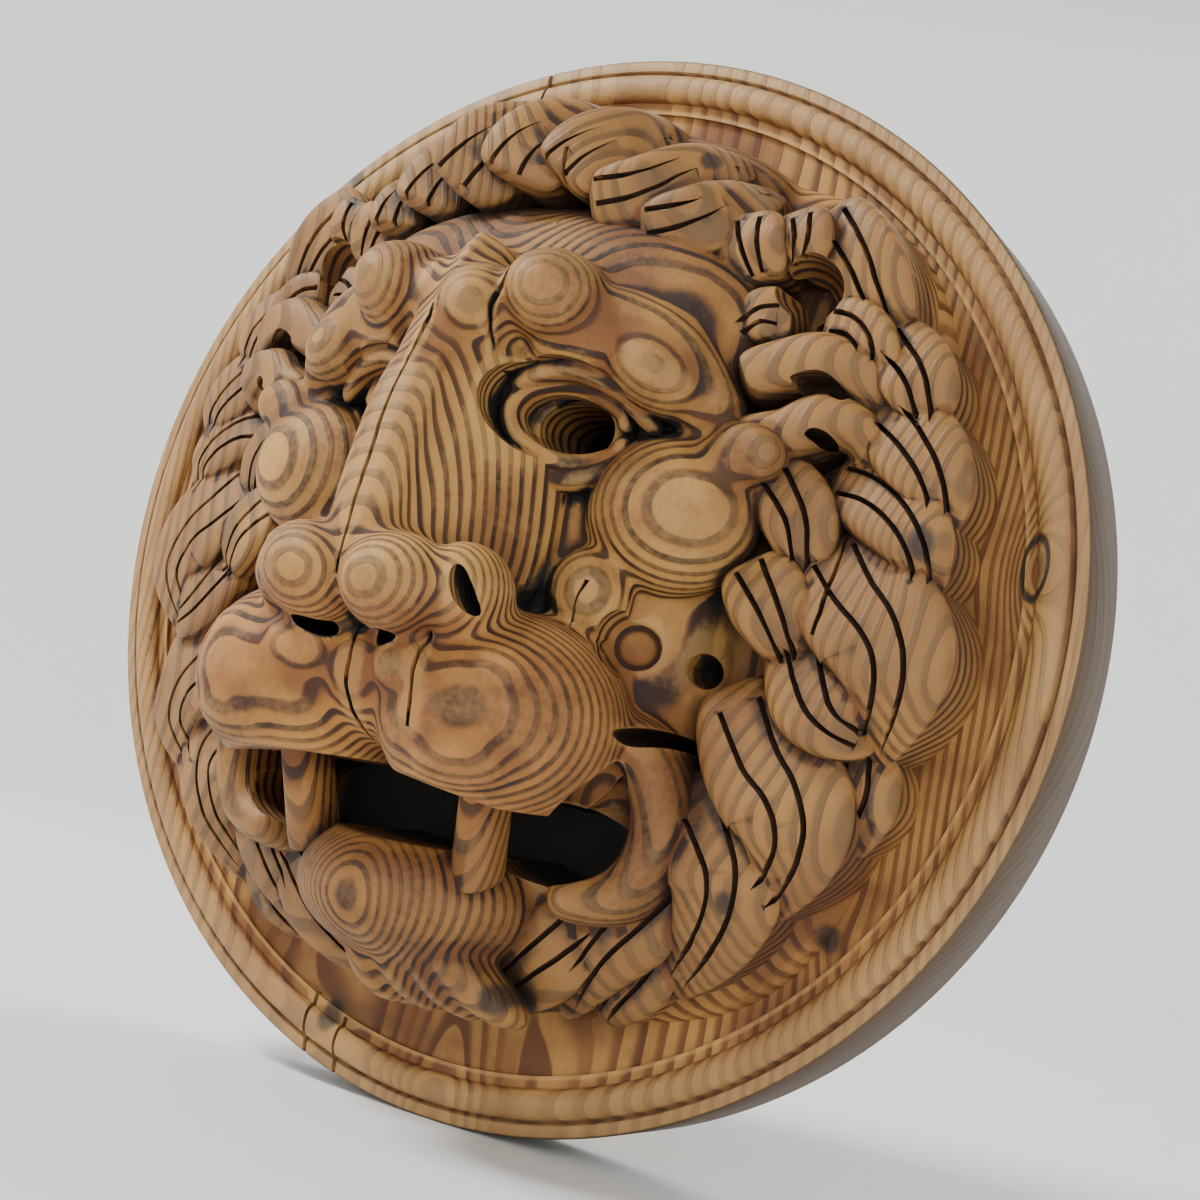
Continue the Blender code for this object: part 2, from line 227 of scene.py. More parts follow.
def both_sides(maker, forms, points, *sizes, **more):
    """The same form on the right and, mirrored, on the left."""
    maker(forms, points, *sizes, **more)
    if isinstance(points[0], (int, float)):
        mirrored = (-points[0],) + tuple(points[1:])
    else:
        mirrored = [(-point[0],) + tuple(point[1:]) for point in points]
    for turned in ("turn", "lean"):
        if turned in more:
            more[turned] = -more[turned]
    maker(forms, mirrored, *sizes, **more)


# The face

def head_masses(forms):
    """The ground of the mane, nearly flat, and the face and forehead standing on it."""
    lump(forms, (0, 0.01, -0.08), (0.745, 0.770, 0.205), power=0.55)
    lump(forms, (0, -0.07, -0.05), (0.50, 0.60, 0.36), power=0.85)
    lump(forms, (0.02, 0.40, 0.13), (0.43, 0.235, 0.245), power=0.85)
    lump(forms, (0.02, 0.70, 0.00), (0.36, 0.140, 0.24))


def brow(forms):
    both_sides(lump, forms, (0.152, 0.405, 0.395), (0.085, 0.082, 0.120))
    lump(forms, (0.045, 0.365, 0.420), (0.072, 0.080, 0.125))
    lump(forms, (-0.055, 0.390, 0.380), (0.070, 0.080, 0.110))
    both_sides(sweep, forms, [(0.10, 0.350, 0.38), (0.20, 0.370, 0.34), (0.32, 0.345, 0.28), (0.42, 0.245, 0.20)],
               0.080, 0.080, root=0.9, tip=0.6)
    both_sides(lump, forms, (0.300, 0.325, 0.290), (0.110, 0.070, 0.110), turn=-0.45)


def nose(forms):
    """A ridge with two steep flat sides, running out into two lobes and the wings of the nostrils."""
    sweep(forms, [(0, 0.39, 0.17), (0, 0.30, 0.23), (0, 0.18, 0.28), (0, 0.04, 0.315), (0, -0.14, 0.335)],
          0.190, 0.290, root=0.52, tip=1.0, footed=True, ridged=True)
    sweep(forms, [(0, 0.34, 0.43), (0, 0.20, 0.515), (0, 0.05, 0.550), (0, -0.12, 0.560)], 0.062, 0.058,
          root=0.7, tip=1.2)
    both_sides(lump, forms, (0.080, -0.115, 0.562), (0.092, 0.082, 0.098))
    both_sides(lump, forms, (0.160, -0.110, 0.49), (0.068, 0.085, 0.105))


def cheeks(forms):
    both_sides(lump, forms, (0.355, 0.100, 0.230), (0.150, 0.135, 0.130))
    both_sides(sweep, forms, [(0.40, 0.14, 0.24), (0.47, 0.21, 0.22), (0.53, 0.20, 0.20)], 0.06, 0.08)
    both_sides(lump, forms, (0.262, -0.057, 0.285), (0.072, 0.080, 0.070))


def muzzle(forms):
    both_sides(lump, forms, (0.190, -0.285, 0.345), (0.205, 0.178, 0.225))
    both_sides(lump, forms, (0.115, -0.235, 0.490), (0.085, 0.065, 0.085))
    both_sides(lump, forms, (0.235, -0.235, 0.450), (0.105, 0.078, 0.100), turn=-0.3)
    both_sides(lump, forms, (0.205, -0.340, 0.460), (0.120, 0.080, 0.100))
    lump(forms, (0, -0.24, 0.36), (0.15, 0.13, 0.180))
    lump(forms, (0.010, -0.595, 0.200), (0.215, 0.130, 0.225))
    lump(forms, (0, -0.53, 0.06), (0.36, 0.17, 0.18))
    for side in (-1, 0, 1, 2):
        sweep(forms, [(0.01 + 0.05 * side, -0.66, 0.27), (0.04 + 0.07 * side, -0.725, 0.22),
                      (0.08 + 0.08 * side, -0.765, 0.15)], 0.036, 0.06, root=1.0, tip=0.3)


def mouth_corners(forms):
    """The folds of lip that curl round the ends of the mouth."""
    both_sides(sweep, forms, [(0.31, -0.25, 0.24), (0.40, -0.30, 0.20), (0.435, -0.41, 0.17), (0.39, -0.52, 0.17),
                              (0.26, -0.555, 0.20)], 0.050, 0.095, root=0.8, tip=0.9)


# The mane

lock_crests = []


def drawn_in(x, y):
    """Draws the mane's outer locks in towards the face, so that a strip of field shows round them."""
    reach = math.hypot(x, y)
    if reach <= MANE_BEND:
        return x, y
    share = (MANE_BEND + (reach - MANE_BEND) * MANE_PULL) / reach
    return x * share, y * share


def lock(forms, path, width, root=0.72, tip=0.12, thick=0.034, lean=0.0):
    """A lock: a flat-topped leaf with crisp edges, whose crest follows the path of (x, y, h) points."""
    drawn = [drawn_in(x, y) + (h,) for x, y, h in path]
    lock_crests.append((drawn, width * LOCK_FULLNESS, lean))
    sunk = [(x, y, h - thick) for x, y, h in drawn]
    sweep(forms, sunk, width * LOCK_FULLNESS, thick, root=root, tip=tip, power=0.5, lean=lean, footed=True)


def sunk_left(path):
    """The same path on the left side, where the mane lies lower towards the rim."""
    return [(-x, y, h * (1 - LEFT_DROP * x * x)) for x, y, h in path]


def ears(forms):
    """Two hoods, one above the other."""
    both_sides(sweep, forms, [(0.42, 0.335, 0.21), (0.480, 0.365, 0.19), (0.545, 0.390, 0.17), (0.605, 0.375, 0.14),
                              (0.635, 0.315, 0.08)], 0.050, 0.065, root=1.0, tip=0.6, power=0.7, footed=True)
    both_sides(sweep, forms, [(0.43, 0.235, 0.21), (0.510, 0.255, 0.19), (0.565, 0.290, 0.17), (0.620, 0.285, 0.14),
                              (0.635, 0.235, 0.08)], 0.046, 0.065, root=1.0, tip=0.6, power=0.7, footed=True)


def curl(forms):
    """The ring of lobes above the ear, round a hollow."""
    for path, width in (
        ([(0.395, 0.640, 0.24), (0.405, 0.580, 0.25), (0.425, 0.520, 0.22)], 0.062),
        ([(0.490, 0.665, 0.22), (0.500, 0.615, 0.23), (0.485, 0.560, 0.19)], 0.050),
        ([(0.520, 0.690, 0.18), (0.590, 0.615, 0.20), (0.635, 0.535, 0.18), (0.665, 0.465, 0.12)], 0.072),
        ([(0.550, 0.470, 0.19), (0.610, 0.465, 0.20), (0.645, 0.420, 0.19), (0.615, 0.375, 0.12)], 0.055),
        ([(0.480, 0.465, 0.22), (0.435, 0.450, 0.24), (0.405, 0.415, 0.24)], 0.050),
    ):
        lock(forms, path, width, root=0.8, tip=0.5)
        lock(forms, sunk_left(path), width, root=0.8, tip=0.5)


def side_locks(forms):
    """The locks beside the ear, the cheek and the jaw, from top to bottom, each lapping over the one below."""
    for path, width in (
        ([(0.650, 0.475, 0.16), (0.735, 0.405, 0.18), (0.770, 0.310, 0.15)], 0.066),
        ([(0.650, 0.350, 0.16), (0.740, 0.295, 0.18), (0.805, 0.225, 0.18), (0.825, 0.140, 0.14)], 0.074),
        ([(0.590, 0.200, 0.17), (0.700, 0.185, 0.19), (0.790, 0.120, 0.19), (0.820, 0.020, 0.15)], 0.072),
        ([(0.500, 0.200, 0.23), (0.570, 0.116, 0.23), (0.583, 0.020, 0.19)], 0.062),
        ([(0.600, 0.100, 0.18), (0.690, 0.020, 0.21), (0.775, -0.050, 0.21), (0.800, -0.145, 0.20),
          (0.745, -0.275, 0.13)], 0.105),
        ([(0.500, 0.040, 0.24), (0.560, -0.030, 0.25), (0.605, -0.120, 0.20)], 0.066),
        ([(0.595, -0.050, 0.19), (0.650, -0.140, 0.22), (0.705, -0.195, 0.22), (0.780, -0.225, 0.17)], 0.075),
        ([(0.495, -0.150, 0.20), (0.580, -0.265, 0.22), (0.665, -0.345, 0.22), (0.680, -0.440, 0.20),
          (0.600, -0.565, 0.13)], 0.100),
        ([(0.730, -0.220, 0.13), (0.760, -0.320, 0.14), (0.710, -0.440, 0.10)], 0.060),
        ([(0.445, -0.310, 0.19), (0.530, -0.410, 0.21), (0.575, -0.500, 0.20), (0.545, -0.610, 0.16),
          (0.460, -0.720, 0.10)], 0.090),
        ([(0.480, -0.430, 0.16), (0.420, -0.545, 0.18), (0.355, -0.650, 0.17), (0.270, -0.800, 0.10)], 0.078),
        ([(0.330, -0.570, 0.18), (0.235, -0.690, 0.18), (0.110, -0.810, 0.10)], 0.076),
        ([(0.440, -0.600, 0.13), (0.410, -0.690, 0.12), (0.340, -0.790, 0.08)], 0.060),
    ):
        lock(forms, path, width, lean=SHINGLE_LEAN)
        lock(forms, sunk_left(path), width, lean=-SHINGLE_LEAN)


def crown(forms):
    """The high tuft over the forehead and the strands on either side of it."""
    for path, width in (
        ([(-0.150, 0.610, 0.36), (-0.110, 0.699, 0.34), (-0.069, 0.776, 0.27), (-0.01, 0.836, 0.17)], 0.088),
        ([(-0.030, 0.625, 0.37), (-0.010, 0.705, 0.35), (0.030, 0.780, 0.28), (0.08, 0.840, 0.18)], 0.084),
        ([(0.055, 0.640, 0.36), (0.090, 0.710, 0.33), (0.140, 0.780, 0.26), (0.20, 0.830, 0.16)], 0.072),
        ([(-0.250, 0.590, 0.31), (-0.240, 0.690, 0.27), (-0.190, 0.790, 0.17)], 0.072),
        ([(0.110, 0.610, 0.33), (0.210, 0.650, 0.31), (0.277, 0.725, 0.25), (0.335, 0.785, 0.14)], 0.062),
        ([(0.205, 0.570, 0.30), (0.300, 0.605, 0.29), (0.355, 0.665, 0.23), (0.390, 0.740, 0.13)], 0.060),
        ([(-0.330, 0.560, 0.28), (-0.340, 0.640, 0.25), (-0.330, 0.740, 0.14)], 0.055),
        ([(0.02, -0.70, 0.15), (-0.03, -0.77, 0.13), (-0.10, -0.83, 0.07)], 0.060),
    ):
        lock(forms, path, width, root=0.8, lean=-SHINGLE_LEAN)


# What is cut away last, and what stands in the hollows

EYE_STEPS = 10


def eyes(forms):
    """What is left of the eyeballs, and the lower lids."""
    both_sides(lump, forms, (0.180, 0.213, 0.220), (0.100, 0.074, 0.105))
    rim = [(0.180 + 0.088 * math.cos(turn), 0.215 + 0.066 * math.sin(turn), 0.315 - 0.05 * math.cos(turn))
           for turn in (math.tau * step / EYE_STEPS for step in range(EYE_STEPS + 1))]
    both_sides(sweep, forms, rim, 0.020, 0.030, root=1.0, tip=1.0)
    both_sides(sweep, forms, [(0.065, 0.165, 0.33), (0.150, 0.122, 0.32), (0.245, 0.145, 0.29), (0.310, 0.220, 0.25)],
               0.022, 0.030, root=0.8, tip=0.7)
    both_sides(sweep, forms, [(0.055, 0.205, 0.33), (0.105, 0.270, 0.36), (0.185, 0.302, 0.35), (0.265, 0.280, 0.31),
                              (0.320, 0.225, 0.26)], 0.024, 0.034, root=0.8, tip=0.7)


def fangs(forms):
    both_sides(sweep, forms, [(0.190, -0.36, 0.36), (0.180, -0.45, 0.33), (0.168, -0.56, 0.29)], 0.036, 0.05,
               root=1.1, tip=1.1)


def sockets(forms):
    """The hollows round the eyes, the open mouth and the hollow of each curl."""
    both_sides(lump, forms, (0.190, 0.225, 0.400), (0.125, 0.085, 0.135))
    both_sides(lump, forms, (0.505, 0.510, 0.220), (0.055, 0.055, 0.120))
    lump(forms, (0, -0.455, 0.22), (0.34, 0.062, 0.60))
    both_sides(lump, forms, (0.25, -0.465, 0.16), (0.13, 0.075, 0.34))
    both_sides(lump, forms, (0.340, -0.370, 0.30), (0.055, 0.085, 0.090), turn=-0.3)
    both_sides(lump, forms, (0.405, -0.272, 0.20), (0.045, 0.020, 0.16), turn=0.2)
    both_sides(lump, forms, (0.360, -0.125, 0.29), (0.060, 0.060, 0.080))
    both_sides(sweep, forms, [(0.520, 0.340, 0.20), (0.560, 0.352, 0.20), (0.600, 0.330, 0.18)], 0.016, 0.05)
    both_sides(sweep, forms, [(0.530, 0.250, 0.19), (0.568, 0.262, 0.19), (0.600, 0.250, 0.18)], 0.016, 0.05)


def holes(forms):
    """The pupils, the inner corners of the eyes and the nostrils."""
    both_sides(lump, forms, (0.178, 0.213, 0.24), (0.074, 0.054, 0.24))
    both_sides(lump, forms, (0.085, 0.155, 0.30), (0.028, 0.026, 0.12))
    both_sides(lump, forms, (0.080, -0.195, 0.46), (0.050, 0.028, 0.13), turn=0.2)
    both_sides(lump, forms, (0.198, -0.105, 0.50), (0.017, 0.045, 0.11), turn=0.35)
    both_sides(lump, forms, (0.434, -0.139, 0.18), (0.022, 0.030, 0.12))
    both_sides(lump, forms, (0.497, 0.470, 0.18), (0.022, 0.018, 0.12))


def formed(makers):
    """The forms that the makers add, each a closed mesh in the making."""
    forms = []
    for maker in makers:
        maker(forms)
    for shape in forms:
        if shape.calc_volume(signed=True) < 0:
            bmesh.ops.reverse_faces(shape, faces=shape.faces)
    return forms


def joined(name, makers):
    """One object that carries all of the makers' forms."""
    whole = bmesh.new()
    for shape in formed(makers):
        single = bpy.data.meshes.new("form")
        shape.to_mesh(single)
        shape.free()
        whole.from_mesh(single)
        bpy.data.meshes.remove(single)
    return hidden_object(name, whole)


def fuse(item):
    """Melts overlapping forms into one skin."""
    remesh = item.modifiers.new("fuse", "REMESH")
    remesh.mode = "VOXEL"
    remesh.voxel_size = VOXEL


def soften(item, repeats):
    smooth = item.modifiers.new("soften", "SMOOTH")
    smooth.factor = SOFTEN_FACTOR
    smooth.iterations = repeats


def combine(item, other, operation):
    boolean = item.modifiers.new(operation.lower(), "BOOLEAN")
    boolean.operation = operation
    boolean.solver = "MANIFOLD"
    boolean.object = other


head = joined("face", [head_masses, brow, nose, cheeks, muzzle, mouth_corners])
fuse(head)
soften(head, FACE_SMOOTHING_STEPS)
helpers = [disc, head]


def gather(name, makers):
    """A collection with an object for each of the makers' forms."""
    group = bpy.data.collections.new(name)
    bpy.context.scene.collection.children.link(group)
    for shape in formed(makers):
        item = hidden_object(name, shape)
        bpy.context.collection.objects.unlink(item)
        group.objects.link(item)
        helpers.append(item)
    return group


def combine_all(item, group, operation):
    boolean = item.modifiers.new(operation.lower(), "BOOLEAN")
    boolean.operation = operation
    boolean.solver = "MANIFOLD"
    boolean.operand_type = "COLLECTION"
    boolean.collection = group


combine_all(head, gather("mane", [ears, curl, side_locks, crown]), "UNION")
combine_all(head, gather("hollows", [sockets]), "DIFFERENCE")
combine_all(head, gather("teeth", [eyes, fangs]), "UNION")
combine_all(head, gather("openings", [holes]), "DIFFERENCE")
combine(disc, head, "UNION")


# The splits that opened along the grain as the block dried. Each is a thin blade that follows a wandering
# line down the grain, made by Geometry Nodes and cut out of the whole block.

pine = bpy.data.materials.new("old pine")
SPLIT_PATHS = (
    [(0.000, 0.350, 0.50), (0.002, 0.270, 0.57), (0.000, 0.190, 0.60), (0.002, 0.090, 0.61), (0.000, -0.120, 0.65)],
    [(0.112, 0.470, 0.42), (0.104, 0.400, 0.50), (0.092, 0.330, 0.47), (0.088, 0.270, 0.36)],
    [(0.002, -0.170, 0.56), (0.000, -0.260, 0.54), (0.002, -0.360, 0.46)],
    [(0.286, -0.040, 0.34), (0.270, -0.110, 0.30), (0.262, -0.220, 0.26)],
    [(-0.228, 1.010, 0.01), (-0.226, 0.940, 0.01), (-0.229, 0.870, 0.01)],
    [(-0.224, -0.870, 0.01), (-0.226, -0.930, 0.01), (-0.222, -1.010, 0.01)],
    [(-0.300, -0.840, 0.01), (-0.303, -0.900, 0.01), (-0.298, -0.960, 0.01)],
    [(0.150, -0.180, 0.56), (0.148, -0.250, 0.58), (0.152, -0.330, 0.55)],
    [(0.070, 0.690, 0.36), (0.074, 0.640, 0.37), (0.068, 0.560, 0.36)],
    [(0.640, 0.120, 0.20), (0.644, 0.030, 0.22), (0.638, -0.060, 0.22)],
)
SPLIT_HALF_WIDTH = 0.0009
SPLIT_HALF_DEPTH = 0.011
SPLIT_STEPS = 28
SPLIT_WANDER = 0.0022
SPLIT_WANDER_SCALE = 90.0
GROOVE_SHARES = (-0.36, 0.24)
GROOVE_POINTS = 6
GROOVE_START = 0.10
GROOVE_END = 0.90
GROOVE_HALF_WIDTH = 0.0010
GROOVE_HALF_DEPTH = 0.0034
GROOVE_WANDER = 0.0010


def finished_mesh(item):
    """The item's mesh with its modifiers worked out."""
    return bpy.data.meshes.new_from_object(item.evaluated_get(bpy.context.evaluated_depsgraph_get()))


def split_tree():
    """Thin blades along the object's lines, pointed at both ends, with a fixed wander from side to side."""
    tree = bpy.data.node_groups.new("splits along the grain", "GeometryNodeTree")
    tree.interface.new_socket("Lines", in_out="INPUT", socket_type="NodeSocketGeometry")
    for name, kind in (("Half width", "Float"), ("Half depth", "Float"), ("Wander", "Float"), ("Steps", "Int")):
        tree.interface.new_socket(name, in_out="INPUT", socket_type="NodeSocket" + kind)
    tree.interface.new_socket("Blades", in_out="OUTPUT", socket_type="NodeSocketGeometry")

    def add(kind, settings=None, sockets=None):
        node = tree.nodes.new(kind)
        for name, value in (settings or {}).items():
            setattr(node, name, value)
        for slot, value in (sockets or {}).items():
            if isinstance(value, bpy.types.NodeSocket):
                tree.links.new(value, node.inputs[slot])
            else:
                node.inputs[slot].default_value = value
        return node

    sizes = add("NodeGroupInput").outputs
    lines = add("GeometryNodeMeshToCurve", {}, {"Mesh": sizes["Lines"]}).outputs[0]
    lines = add("GeometryNodeCurveSplineType", {"spline_type": "CATMULL_ROM"}, {"Curve": lines}).outputs[0]
    lines = add("GeometryNodeResampleCurve", {}, {"Curve": lines, "Count": sizes["Steps"]}).outputs[0]
    noise = add("ShaderNodeTexNoise", {}, {"Scale": SPLIT_WANDER_SCALE, "Detail": 1.0}).outputs[0]
    centred = add("ShaderNodeMath", {"operation": "SUBTRACT"}, {0: noise, 1: 0.5}).outputs[0]
    aside = add("ShaderNodeMath", {"operation": "MULTIPLY"}, {0: centred, 1: sizes["Wander"]}).outputs[0]
    offset = add("ShaderNodeCombineXYZ", {}, {"X": aside}).outputs[0]
    lines = add("GeometryNodeSetPosition", {}, {"Geometry": lines, "Offset": offset}).outputs[0]
    lines = add("GeometryNodeSetCurveNormal", {"mode": "FREE"}, {"Curve": lines, "Normal": (0, -1, 0)}).outputs[0]
    along = add("GeometryNodeSplineParameter").outputs["Factor"]
    turn = add("ShaderNodeMath", {"operation": "MULTIPLY"}, {0: along, 1: math.pi}).outputs[0]
    full = add("ShaderNodeMath", {"operation": "SINE"}, {0: turn}).outputs[0]
    full = add("ShaderNodeMath", {"operation": "MAXIMUM"}, {0: full, 1: 0.08}).outputs[0]
    lines = add("GeometryNodeSetCurveRadius", {}, {"Curve": lines, "Radius": full}).outputs[0]
    inward = add("ShaderNodeMath", {"operation": "MULTIPLY"}, {0: sizes["Half depth"], 1: -1.0}).outputs[0]
    leftward = add("ShaderNodeMath", {"operation": "MULTIPLY"}, {0: sizes["Half width"], 1: -1.0}).outputs[0]
    corners = {
        "Point 1": add("ShaderNodeCombineXYZ", {}, {"X": sizes["Half depth"]}).outputs[0],
        "Point 2": add("ShaderNodeCombineXYZ", {}, {"Y": sizes["Half width"]}).outputs[0],
        "Point 3": add("ShaderNodeCombineXYZ", {}, {"X": inward}).outputs[0],
        "Point 4": add("ShaderNodeCombineXYZ", {}, {"Y": leftward}).outputs[0],
    }
    section = add("GeometryNodeCurvePrimitiveQuadrilateral", {"mode": "POINTS"}, corners).outputs[0]
    blades = add("GeometryNodeCurveToMesh", {}, {"Curve": lines, "Profile Curve": section, "Fill Caps": True})
    real = add("GeometryNodeRealizeInstances", {}, {"Geometry": blades.outputs[0]}).outputs[0]
    finished = add("GeometryNodeSetMaterial", {}, {"Geometry": real, "Material": pine}).outputs[0]
    add("NodeGroupOutput", {}, {"Blades": finished})
    return tree


blade_maker = split_tree()


def blades(name, paths, half_width, half_depth, wander):
    """A blade along each of the paths, baked to a plain mesh."""
    shape = bmesh.new()
    for path in paths:
        chain = [shape.verts.new(place(*point)) for point in path]
        for pair in zip(chain, chain[1:]):
            shape.edges.new(pair)
    item = hidden_object(name, shape)
    maker = item.modifiers.new(name, "NODES")
    maker.node_group = blade_maker
    chosen = {"Half width": half_width, "Half depth": half_depth, "Wander": wander, "Steps": SPLIT_STEPS}
    for socket in maker.node_group.interface.items_tree:
        if socket.name in chosen:
            maker[socket.identifier] = chosen[socket.name]
    baked = finished_mesh(item)
    item.modifiers.clear()
    item.data = baked
    return item


def groove_paths():
    """Lines along each lock, between its strands, at the height of its sloping top."""
    paths = []
    for path, width, lean in lock_crests:
        for share in GROOVE_SHARES:
            groove = []
            for step in range(GROOVE_POINTS):
                along = GROOVE_START + (GROOVE_END - GROOVE_START) * step / (GROOVE_POINTS - 1)
                middle = smooth_path(path, along)
                ahead = smooth_path(path, along + 0.02) - smooth_path(path, along - 0.02)
                aside = ahead.cross(Vector((0.0, 0.0, 1.0))).normalized() * (width * share * (1.1 - along * 0.7))
                rise = width * share * (1.1 - along * 0.7) * math.sin(lean)
                groove.append((middle.x + aside.x, middle.y + aside.y, middle.z + rise))
            paths.append(groove)
    return paths


for name, paths, half_width, half_depth, wander in (
    ("splits", SPLIT_PATHS, SPLIT_HALF_WIDTH, SPLIT_HALF_DEPTH, SPLIT_WANDER),
    ("grooves", groove_paths(), GROOVE_HALF_WIDTH, GROOVE_HALF_DEPTH, GROOVE_WANDER),
):
    helpers.append(blades(name, paths, half_width, half_depth, wander))
    combine(disc, helpers[-1], "DIFFERENCE")


MOST_TRIANGLES = 190000
fused = finished_mesh(disc)
fused.calc_loop_triangles()
keep = disc.modifiers.new("fewer faces", "DECIMATE")
keep.ratio = min(1.0, MOST_TRIANGLES / len(fused.loop_triangles))
solid = finished_mesh(disc)
bpy.data.meshes.remove(fused)
for helper in helpers:
    bpy.data.objects.remove(helper)
mask = bpy.data.objects.new("carved_lion", solid)
bpy.context.collection.objects.link(mask)


# How deep each point lies in a hollow, and how far it stands out as a worn ridge, kept as attributes that the
# finish reads: the hollow ones for painted shade in creases and pits, the ridge one for wear.

HOLLOW_REACH = 0.045
CREASE_REACH = 0.014
HOLLOW_RAYS = 10
RAY_START = 0.0004


def ray_fan(count):
    """Directions over a half sphere about +Z, weighted towards its pole, in a golden-angle spiral."""
    golden = math.pi * (3 - math.sqrt(5))
    fan = []
    for step in range(count):
        rise = math.sqrt(1 - (step + 0.5) / count * 0.95)
        reach = math.sqrt(1 - rise * rise)
        fan.append(Vector((reach * math.cos(golden * step), reach * math.sin(golden * step), rise)))
    return fan


def store(mesh, name, values):
    attribute = mesh.attributes.new(name, "FLOAT", "POINT")
    attribute.data.foreach_set("value", values)


def mark_hollows(mesh):
    tree = BVHTree.FromPolygons([vert.co for vert in mesh.vertices], [face.vertices for face in mesh.polygons])
    fan = ray_fan(HOLLOW_RAYS)
    hollows = []
    creases = []
    for vert in mesh.vertices:
        turn = vert.normal.to_track_quat("Z", "Y")
        start = vert.co + vert.normal * RAY_START
        far = 0.0
        near = 0.0
        for ray in fan:
            distance = tree.ray_cast(start, turn @ ray, HOLLOW_REACH)[3]
            if distance is not None:
                far += 1 - distance / HOLLOW_REACH
                near += max(0.0, 1 - distance / CREASE_REACH)
        hollows.append(far / HOLLOW_RAYS)
        creases.append(near / HOLLOW_RAYS)
    store(mesh, "hollow", hollows)
    store(mesh, "crease", creases)


RIDGE_SPREAD_STEPS = 6
RIDGE_SCALE = 1200.0


def mark_ridges(mesh):
    """How far each point stands out from the average of the points around it."""
    count = len(mesh.vertices)
    places = numpy.empty(count * 3)
    mesh.vertices.foreach_get("co", places)
    places = places.reshape(count, 3)
    normals = numpy.empty(count * 3)
    mesh.vertices.foreach_get("normal", normals)
    normals = normals.reshape(count, 3)
    ends = numpy.empty(len(mesh.edges) * 2, dtype=numpy.int64)
    mesh.edges.foreach_get("vertices", ends)
    first, second = ends[0::2], ends[1::2]
    neighbours = numpy.bincount(first, minlength=count) + numpy.bincount(second, minlength=count)
    spread = places.copy()
    for _ in range(RIDGE_SPREAD_STEPS):
        total = numpy.zeros_like(spread)
        for axis in range(3):
            total[:, axis] = (numpy.bincount(first, weights=spread[second, axis], minlength=count)
                              + numpy.bincount(second, weights=spread[first, axis], minlength=count))
        spread = total / neighbours[:, None]
    stands_out = ((places - spread) * normals).sum(axis=1) * RIDGE_SCALE
    store(mesh, "ridge", numpy.clip(stands_out, -1.0, 1.0))


mark_hollows(solid)
mark_ridges(solid)


# The finish. Old pine, unpainted: the growth rings are shells about the heart of the tree, which ran up and
# down some way behind the block, so each carved form is cut into contour lines, and the flat field into
# stripes. Late wood is narrow, dark and stands proud; early wood is tan and worn. The colour also holds
# painted shade in the creases, over the mane, on the disc's side wall and in the pits of the eyes and mouth.

RING_HEART_X = -0.017
RING_HEART_Y = 0.065
RING_LINEAR = -85.5
RING_SQUARE = 990.0
GRAIN_STRETCH = (1.0, 1.0, 0.12)
RIM_DIRT_START = 0.180
EYE_X = 0.036
EYE_Z = 0.043
MOUTH_Z = -0.092
NOSE_HALF_WIDTH = 0.026
NOSE_GRAIN_SLOPE = 0.22

# The knots: where the middle of each lies, in shares of CARVING_SIZE, and its half width in metres. The last
# one is loose in the rim, with a dark gap round it, and is given by two half sizes.
KNOTS = (
    (0.769, 0.116, 0.0058),
    (0.564, -0.500, 0.0042),
    (0.676, -0.526, 0.0050),
    (0.224, -0.733, 0.0058),
    (-0.423, -0.707, 0.0055),
    (-0.255, -0.873, 0.0062),
    (-0.778, 0.182, 0.0050),
    (-0.477, 0.644, 0.0056),
    (-0.641, 0.752, 0.0046),
    (0.288, 0.713, 0.0036),
)
RIM_KNOT = (0.902, 0.126, 0.0046, 0.0100)


class Value:
    """A node's output. Its operators add Math nodes to the same tree."""

    def __init__(self, finish, socket):
        self.finish = finish
        self.socket = socket

    def math(self, operation, *others):
        return self.finish.add("ShaderNodeMath", {"operation": operation}, dict(enumerate((self,) + others)))

    def after(self, operation, first):
        return self.finish.add("ShaderNodeMath", {"operation": operation}, {0: first, 1: self})

    def __add__(self, other):
        return self.math("ADD", other)

    def __sub__(self, other):
        return self.math("SUBTRACT", other)

    def __mul__(self, other):
        return self.math("MULTIPLY", other)

    def __truediv__(self, other):
        return self.math("DIVIDE", other)

    def __rsub__(self, other):
        return self.after("SUBTRACT", other)

    __radd__ = __add__
    __rmul__ = __mul__


class Finish:
    """A material's node tree, written as expressions."""

    def __init__(self, material):
        self.material = material
        self.material.use_nodes = True
        self.tree = self.material.node_tree
        self.shader = self.tree.nodes["Principled BSDF"]

    def add(self, kind, settings=None, sockets=None, output=0):
        """Any node: its type, its settings, the values or links of its sockets, and which output is used."""
        node = self.tree.nodes.new(kind)
        for name, value in (settings or {}).items():
            setattr(node, name, value)
        for slot, value in (sockets or {}).items():
            self.put(node.inputs[slot], value)
        return Value(self, node.outputs[output])

    def put(self, socket, value):
        if isinstance(value, Value):
            self.tree.links.new(value.socket, socket)
        else:
            socket.default_value = value

    def step(self, value, start, end):
        """0 below start, 1 above end, and a smooth rise between."""
        return self.add("ShaderNodeMapRange", {"interpolation_type": "SMOOTHSTEP"},
                        {"Value": value, "From Min": start, "From Max": end})

    def blend(self, share, first, second, mode="MIX"):
        """Colours mixed by a share."""
        return self.add("ShaderNodeMix", {"data_type": "RGBA", "blend_type": mode}, {0: share, 6: first, 7: second}, 2)

    def noise(self, place, scale, detail=2.0, output=0):
        return self.add("ShaderNodeTexNoise", {}, {"Vector": place, "Scale": scale, "Detail": detail}, output)

    def stretch(self, place, shares):
        return self.add("ShaderNodeVectorMath", {"operation": "MULTIPLY"}, {0: place, 1: shares})

    def attribute(self, name):
        return self.add("ShaderNodeAttribute", {"attribute_name": name}, output=2)


